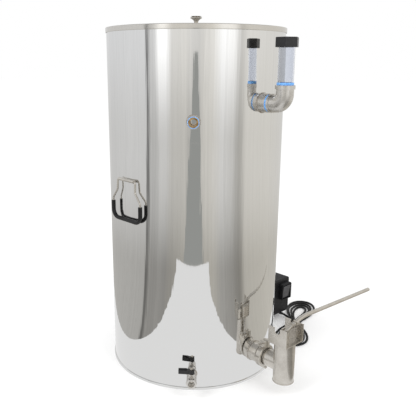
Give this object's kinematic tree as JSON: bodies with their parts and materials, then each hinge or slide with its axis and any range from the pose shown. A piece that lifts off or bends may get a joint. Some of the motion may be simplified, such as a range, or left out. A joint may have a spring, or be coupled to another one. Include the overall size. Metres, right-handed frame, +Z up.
{
  "type": "heated honey bottling tank",
  "caption": "Upright double-walled stainless tank with lift-off lid, bail handles, sight tube, drain valve, lever-operated gate, heater box and cord.",
  "frame": {"origin": "centre of the base's underside, where the tank's axis meets the floor", "axes": "+Z up along the tank's axis; -Y towards the honey gate and the sight tube; +X towards the heater box and the lever's free end"},
  "size_m": [0.9212, 0.7189, 1.1344],
  "materials": {
    "polished_steel": "mirror-polished stainless sheet",
    "satin_steel": "satin stainless tube and plate",
    "cast_steel": "cast stainless pipe fitting, slightly rough",
    "clear_blue_plastic": "clear, faintly blue rigid pipe",
    "black_cap_plastic": "moulded black plastic, slight gloss",
    "black_box_plastic": "fine-grained black plastic",
    "grey_rocker_plastic": "dark grey plastic",
    "blue_tape": "blue thread tape",
    "grip_vinyl": "dipped black vinyl",
    "cord_black": "black flexible cord jacket",
    "seal_rubber": "off-white food-grade rubber",
    "brass_fitting": "dull brass",
    "ptfe_white": "white seat plastic",
    "element_sheath": "heat-darkened steel sheath",
    "prong_brass": "plated brass blades"
  },
  "bodies": {
    "tank": {"outer_shell": "polished_steel", "base_plate": "satin_steel", "inner_vessel": "polished_steel", "jacket_rim": "polished_steel", "vessel_feet": "satin_steel", "outlet_pipe": "satin_steel", "clamp_gasket": "seal_rubber", "clamp_half_left": "satin_steel", "clamp_half_right": "satin_steel", "clamp_pin": "satin_steel", "clamp_bolt": "satin_steel", "gate_body": "satin_steel", "gate_seat": "satin_steel", "gate_bracket": "satin_steel", "stem_guide": "satin_steel", "gate_spring": "satin_steel", "sight_coupling": "cast_steel", "sight_elbow": "cast_steel", "sight_tube": "clear_blue_plastic", "thread_tape": "blue_tape", "port_coupling": "cast_steel", "port_fitting": "brass_fitting", "drain_coupling": "cast_steel", "drain_body": "cast_steel", "drain_seats": "ptfe_white", "left_handle_tube": "satin_steel", "right_handle_tube": "satin_steel", "heater_coupling": "cast_steel", "heater_plug": "cast_steel", "heater_element": "element_sheath", "box_body": "black_box_plastic", "box_cover": "black_box_plastic", "cover_screws": "satin_steel", "switch_hood": "black_box_plastic", "thermostat_body": "black_box_plastic", "cord_gland": "black_box_plastic", "cord_lead": "cord_black", "cord_hank": "cord_black", "cord_tie": "cord_black", "cord_plug": "cord_black", "plug_prongs": "prong_brass"},
    "lid": {"lid_disc": "polished_steel", "lid_knob": "satin_steel", "knob_screw": "satin_steel"},
    "sight_cap": {"sight_cap": "black_cap_plastic"},
    "left_bail": {"left_bail_wire": "satin_steel", "left_grip": "grip_vinyl"},
    "right_bail": {"right_bail_wire": "satin_steel", "right_grip": "grip_vinyl"},
    "drain_handle": {"drain_ball": "satin_steel", "drain_stem": "satin_steel", "drain_lever": "black_cap_plastic"},
    "gate_lever": {"gate_lever": "satin_steel", "lever_fixings": "satin_steel"},
    "plunger": {"gate_plunger": "satin_steel", "plunger_seal": "seal_rubber", "gate_stem": "satin_steel"},
    "rocker": {"switch_rocker": "grey_rocker_plastic"},
    "thermostat_knob": {"thermostat_knob": "black_box_plastic"},
    "wing_nut": {"wing_nut": "satin_steel"}
  },
  "joints": [
    {"name": "lid_lift", "type": "slide", "parent": "tank", "child": "lid", "axis": [0, 0, 1], "range_m": [0, 0.25]},
    {"name": "cap_lift", "type": "slide", "parent": "tank", "child": "sight_cap", "axis": [0, 0, 1], "range_m": [0, 0.06]},
    {"name": "left_bail_swing", "type": "hinge", "parent": "tank", "child": "left_bail", "pos_m": [-0.2856, 0, 0.652], "axis": [0, 1, 0], "range_deg": [0, 170]},
    {"name": "right_bail_swing", "type": "hinge", "parent": "tank", "child": "right_bail", "pos_m": [0.2856, 0, 0.652], "axis": [0, -1, 0], "range_deg": [0, 170]},
    {"name": "drain_turn", "type": "hinge", "parent": "tank", "child": "drain_handle", "pos_m": [-0.22486, -0.22486, 0.056], "axis": [0, 0, 1], "range_deg": [0, 90]},
    {"name": "gate_lever_swing", "type": "hinge", "parent": "tank", "child": "gate_lever", "pos_m": [0.0405, -0.4, 0.21825], "axis": [0, 1, 0], "range_deg": [0, 24]},
    {"name": "plunger_lift", "type": "slide", "parent": "tank", "child": "plunger", "axis": [0, 0, 1], "range_m": [0, 0.0176], "stiffness_N_per_m": 1500, "springref_m": -0.03, "deforming": ["gate_spring"]},
    {"name": "rocker_tilt", "type": "hinge", "parent": "tank", "child": "rocker", "pos_m": [0.421, -0.078, 0.1215], "axis": [-1, 0, 0], "range_deg": [0, 16]},
    {"name": "thermostat_turn", "type": "hinge", "parent": "tank", "child": "thermostat_knob", "pos_m": [0.462, 0, 0.105], "axis": [1, 0, 0], "range_deg": [0, 270]},
    {"name": "wing_nut_turn", "type": "hinge", "parent": "tank", "child": "wing_nut", "pos_m": [-0.02, -0.3225, 0.143], "axis": [1, 0, 0], "range_deg": [0, 360]}
  ],
  "couplings": [
    {"joint": "plunger_lift", "follows": "gate_lever_swing", "m_per_rad": 0.0416}
  ]
}
